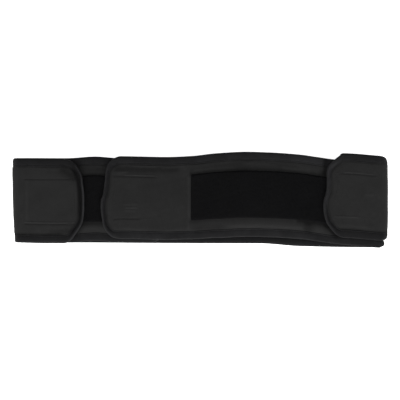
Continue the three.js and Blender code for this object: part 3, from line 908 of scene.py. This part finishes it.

# The band and the straps, with the creases and seams that each shows. Creases run between two
# flat places, each measured from the tip and from the middle, with a width, a height and a tone of
# painted light and shade: painted shade below 0, a painted highlight above it.
mainLook = {
    "creases": (
        ((0.127, -0.045), (0.127, 0.04), 0.0012, 0.0004, 0.1),  # edge of the hook patch's seam
        ((0.1285, -0.045), (0.1285, 0.04), 0.0042, 0.0002, 0.05),
        ((0.045, 0.008), (0.098, 0.008), 0.03, 0.0, -0.08),  # the flap is painted a little darker
        ((0.02, 0.031), (0.079, 0.0305), 0.001, -0.0004, -0.26),
        ((0.036, 0.0328), (0.078, 0.0326), 0.001, 0.0004, 0.2),
        ((0.022, 0.036), (0.038, 0.0366), 0.0011, 0.0005, 0.2),
        ((0.02, -0.031), (0.056, -0.0308), 0.001, -0.0004, -0.22),
        ((0.036, -0.0105), (0.053, -0.0095), 0.001, 0.0004, 0.18),  # three small wrinkles, painted lighter along their ridges
        ((0.038, -0.015), (0.052, -0.0145), 0.001, 0.0005, 0.22),
        ((0.036, -0.019), (0.05, -0.019), 0.001, 0.0004, 0.18),
        ((0.025, 0.0415), (0.11, 0.042), 0.0048, -0.0002, -0.26),  # painted shade on the upper margin
        ((0.048, 0.0462), (0.08, 0.0465), 0.0012, 0.0004, 0.16),
        ((0.09, 0.0455), (0.12, 0.0458), 0.0012, 0.0003, 0.1),
        ((0.13, 0.042), (0.305, 0.042), 0.005, -0.0002, -0.12),
        ((0.135, 0.0385), (0.19, 0.0392), 0.0012, 0.0003, 0.08),
        ((0.205, 0.044), (0.25, 0.043), 0.0014, 0.0003, 0.12),
        ((0.262, 0.04), (0.3, 0.0375), 0.0018, 0.0004, 0.16),
        ((0.286, 0.043), (0.306, 0.042), 0.0018, 0.0003, 0.14),
        ((0.13, -0.0345), (0.275, -0.0345), 0.003, -0.0002, -0.22),  # painted shade beside the loop panel
        ((0.284, -0.0345), (0.33, -0.0345), 0.0036, -0.0002, -0.44),
        ((0.13, 0.0345), (0.315, 0.0345), 0.0034, -0.0002, -0.4),
        ((0.185, -0.044), (0.288, -0.044), 0.003, 0.0006, 0.12),
        ((0.14, -0.045), (0.17, -0.045), 0.006, 0.0, -0.14),
        ((0.2955, -0.04), (0.2955, -0.048), 0.0034, -0.0003, -0.18),
        ((0.296, -0.038), (0.306, -0.038), 0.003, -0.0002, -0.12),
        ((0.301, -0.04), (0.301, -0.048), 0.0034, -0.0002, -0.18),
        ((0.314, -0.043), (0.319, -0.0435), 0.004, 0.0004, 0.06),
        ((0.02, -0.044), (0.125, -0.044), 0.004, 0.0003, 0.02),
        ((0.3245, -0.036), (0.339, -0.05), 0.0028, 0.0, -0.5),  # in the right strap's shade
        ((0.3225, 0.03), (0.3235, 0.059), 0.0026, 0.0, -0.42),
        ((0.3185, 0.03), (0.32, 0.039), 0.004, 0.0, -0.3),
    ),
    "startCreases": (  # on the hidden end, which shows between the flap and the left strap
        ((0.09, 0.042), (0.14, 0.042), 0.0065, -0.0002, -0.24),
        ((0.09, 0.0348), (0.14, 0.0348), 0.002, -0.0002, -0.4),
        ((0.09, -0.035), (0.14, -0.035), 0.003, -0.0002, -0.34),
        ((0.09, -0.0425), (0.125, -0.0425), 0.0034, 0.0003, 0.14),
        ((0.13, -0.033), (0.139, -0.048), 0.0032, -0.0002, -0.34),  # in the left strap's shade
    ),
    "seams": (((0.02, 0.031), (0.079, 0.0305)), ((0.02, -0.031), (0.079, -0.0308))),
}
leftLook = {
    "creases": (
        ((0.013, 0.0312), (0.084, 0.0305), 0.001, -0.0004, -0.2),
        ((0.014, -0.0308), (0.084, -0.0308), 0.001, 0.0004, 0.2),
        ((0.014, -0.0332), (0.084, -0.0332), 0.001, -0.0004, -0.22),
        ((0.0815, -0.029), (0.0815, 0.029), 0.0014, 0.0003, 0.1),
        ((0.034, 0.0405), (0.052, 0.0408), 0.0012, -0.0003, -0.12),
        ((0.018, -0.042), (0.048, -0.044), 0.0034, -0.0002, -0.14),
        ((0.012, 0.033), (0.03, 0.044), 0.006, -0.0002, -0.3),
        ((0.032, -0.0478), (0.1, -0.0478), 0.0018, -0.0002, -0.26),
    ),
    "seams": (((0.013, 0.0312), (0.084, 0.0305)), ((0.013, -0.0308), (0.084, -0.0308))),
}
rightLook = {
    "creases": (
        ((0.026, 0.0312), (0.074, 0.031), 0.001, -0.0004, -0.2),
        ((0.03, 0.033), (0.07, 0.0328), 0.001, 0.0004, 0.14),
        ((0.016, -0.0302), (0.048, -0.0302), 0.0011, 0.0004, 0.18),
        ((0.06, 0.002), (0.07, 0.0022), 0.0012, 0.0004, 0.2),
        ((0.02, -0.042), (0.07, -0.043), 0.003, 0.0003, 0.03),
        ((0.026, -0.0478), (0.09, -0.0478), 0.0018, -0.0002, -0.18),
    ),
    "seams": (((0.016, 0.0312), (0.074, 0.031)), ((0.016, -0.0302), (0.074, -0.0302))),
}
# Painted light and shade of the binding: how much shade is painted in the valley round the end, by
# share of half the width from the bottom edge to the top; how much lighter each hem is painted
# than plain tape, by distance from the tip, along its top and its bottom edge, with the painted
# highlight on that edge; and that highlight round the end, by share of half the width.
mainShade = {
    "valleyShade": (
        (-1, 0.10), (-0.8, 0.26), (-0.5, 0.24), (-0.1, 0.12), (0.3, 0.10), (0.7, 0.14), (1, 0.05),
    ),
    "valleyShadeWidth": 0.0022,
    "hemShades": (
        (0, 0.03, 0.06, -0.05), (0.10, 0.02, 0.06, -0.05), (0.18, 0.05, 0.05, -0.05),
        (0.26, 0.06, 0.04, -0.05), (0.295, 0.14, 0.05, -0.05), (0.34, 0.10, 0.03, -0.05),
        (0.38, 0.04, 0, -0.05), (0.45, 0, -0.04, -0.05), (0.52, 0, -0.08, 0.22),
        (0.66, 0, -0.08, 0.22), (0.72, 0, 0, 0),
    ),
    "tipHighlight": ((-1, 0.20), (-0.5, 0.22), (-0.1, 0.14), (0.4, 0.16), (0.8, 0.22), (1, 0.20)),
}
leftShade = {
    "valleyShade": (
        (-1, 0.25), (-0.7, 0.32), (-0.45, 0.36), (-0.25, 0.56),
        (0.2, 0.66), (0.6, 0.66), (0.9, 0.40), (1, 0.1),
    ),
    "valleyShadeWidth": 0.0029,
    "hemShades": (
        (0, -0.12, -0.03, 0.24), (0.025, -0.06, -0.03, 0.24), (0.05, -0.03, -0.03, 0.24),
        (0.1, -0.03, -0.03, 0.24),
    ),
    "tipHighlight": ((-1, 0.06), (-0.6, 0.10), (-0.35, 0.26), (-0.1, 0.42), (0.5, 0.44), (1, 0.40)),
}
rightShade = {
    "valleyShade": (
        (-1, 0.1), (-0.8, 0.22), (-0.5, 0.17), (-0.3, 0.0), (-0.1, -0.08), (0.2, -0.04), (1, 0),
    ),
    "valleyShadeWidth": 0.0022,
    "hemShades": (
        (0, 0.16, 0.05, -0.10), (0.02, 0.08, 0, -0.10), (0.05, 0.03, -0.04, -0.10),
        (0.1, 0.03, -0.04, -0.10),
    ),
    "tipHighlight": ((-1, 0.20), (-0.35, 0.22), (-0.15, 0.12), (0.5, 0.10), (1, 0.12)),
}
loop = {"width": 0.067, "height": 0.0008, "nap": 0.00007, "step": 0.0014}
hooks = {"width": 0.063, "height": 0.0007, "nap": 0.0, "step": 0.004}


def dressBand(node, band, look):
    band["creases"] = look["creases"] + tuple(
        ((band["length"] - start[0], start[1]), (band["length"] - end[0], end[1]), *rest)
        for start, end, *rest in look.get("startCreases", ())
    )
    face = paddedCloth(node + "_cloth", band, knit)
    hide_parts(node)
    edge = binding(node + "_tape", band, bindingTape)
    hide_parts(node + "_binding")
    seams = edgeSeams(band) + [faceSeam(band, *ends) for ends in look["seams"]]
    sewn = stitches(node + "_stitches", band, seams, sewingThread)
    print("belt:", node, "made")


def dressPatch(node, band, place, look, side, material, atStart=False):
    length = place["length"]
    start = place["setback"] if atStart else band["length"] - place["setback"] - length
    piece = patch(node + "_sheet", band, start, length, side, look, material)
    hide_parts(node)


leftLine = strapLine(-1, leftStrapStretch, leftStrapStretch, belt["leftStrapReach"])
rightLine = strapLine(1, rightStrapBackStretch, rightStrapFrontStretch, belt["rightStrapReach"])
mainBand = makeBand(mainLine(), True, flapTip, mainShade, 21, fineFrom=0.72)
leftStrap = makeBand(leftLine, False, leftStrapTip, leftShade, 43, fineFrom=0.15)
rightStrap = makeBand(rightLine, False, rightStrapTip, rightShade, 65, fineFrom=0.15)
print("belt: flat lengths %.3f and %.3f m" % (mainBand["length"], leftStrap["length"]))
dressBand("main_band", mainBand, mainLook)
dressBand("left_strap", leftStrap, leftLook)
dressBand("right_strap", rightStrap, rightLook)

# Where each sheet is sewn: from the tip that it is nearest to, and its length
frontLoop = {"setback": 0.130, "length": 0.256}
hiddenLoop = {"setback": 0.009, "length": 0.196}
flapHook = {"setback": 0.018, "length": 0.063}
leftHook = {"setback": 0.010, "length": 0.071}
rightHook = {"setback": 0.014, "length": 0.062}

dressPatch("front_loop_panel", mainBand, frontLoop, loop, 1, loopPile)
dressPatch("hidden_loop_panel", mainBand, hiddenLoop, loop, 1, loopPile, True)
dressPatch("flap_hook_patch", mainBand, flapHook, hooks, -1, hookTape)
dressPatch("left_hook_patch", leftStrap, leftHook, hooks, -1, hookTape)
dressPatch("right_hook_patch", rightStrap, rightHook, hooks, -1, hookTape)
print("belt: patches made")

# The white floor, the soft studio light and the camera straight above
studio = {
    "frame": 0.5714,        # width that the camera sees
    "lens": 85,
    "centre": (-0.00055, -0.00004),
    "floor": 0.9,
    "floorSize": 6,
    "floorDrop": 0.0002,    # how far the floor is below the belt
    "glow": 0.8,
    "world": 0.22,
}
white = (1, 1, 1, 1)


def addFloor():
    bpy.ops.object.select_all(action="DESELECT")
    drop = (0, 0, -studio["floorDrop"])
    bpy.ops.mesh.primitive_plane_add(size=studio["floorSize"], location=drop)
    floor = bpy.context.object
    floor.name = "floor"
    material = bpy.data.materials.new("white_floor")
    material.use_nodes = True
    tree = material.node_tree
    setInputs(tree, tree.nodes["Principled BSDF"], {
        "Base Color": (studio["floor"],) * 3 + (1,),
        "Roughness": 0.9,
        "Specular IOR Level": 0.0,
        "Emission Color": white,
        "Emission Strength": studio["glow"],
    })
    floor.data.materials.append(material)


def addSoftbox(name, place, size, power):
    light = bpy.data.lights.new(name, "AREA")
    light.shape = "RECTANGLE"
    light.size, light.size_y = size
    light.energy = power
    lamp = bpy.data.objects.new(name, light)
    bpy.context.collection.objects.link(lamp)
    lamp.location = place
    aim = -np.array(place)
    flat = math.hypot(aim[0], aim[1])
    lamp.rotation_euler = (math.atan2(flat, -aim[2]), 0, math.atan2(aim[1], aim[0]) - math.pi / 2)


def addCamera():
    camera = bpy.data.cameras.new("camera")
    camera.lens = studio["lens"]
    camera.clip_end = 50
    seen = bpy.data.objects.new("camera", camera)
    bpy.context.collection.objects.link(seen)
    height = studio["frame"] * studio["lens"] / camera.sensor_width
    seen.location = (*studio["centre"], topHeight + height)
    bpy.context.scene.camera = seen


addFloor()
addSoftbox("front_softbox", (0.0, -1.8, 0.9), (2.2, 0.7), 66)
addSoftbox("left_softbox", (-1.7, -0.2, 0.8), (0.8, 1.6), 18)
addSoftbox("right_softbox", (1.7, -0.2, 0.8), (0.8, 1.6), 18)
addSoftbox("top_softbox", (0.0, 0.1, 2.2), (2.0, 2.0), 16)
addCamera()
world = bpy.data.worlds.new("studio")
world.use_nodes = True
sky = world.node_tree.nodes["Background"]
setInputs(world.node_tree, sky, {"Color": white, "Strength": studio["world"]})
bpy.context.scene.world = world
bpy.context.scene.view_settings.view_transform = "Standard"
print("belt: studio made")
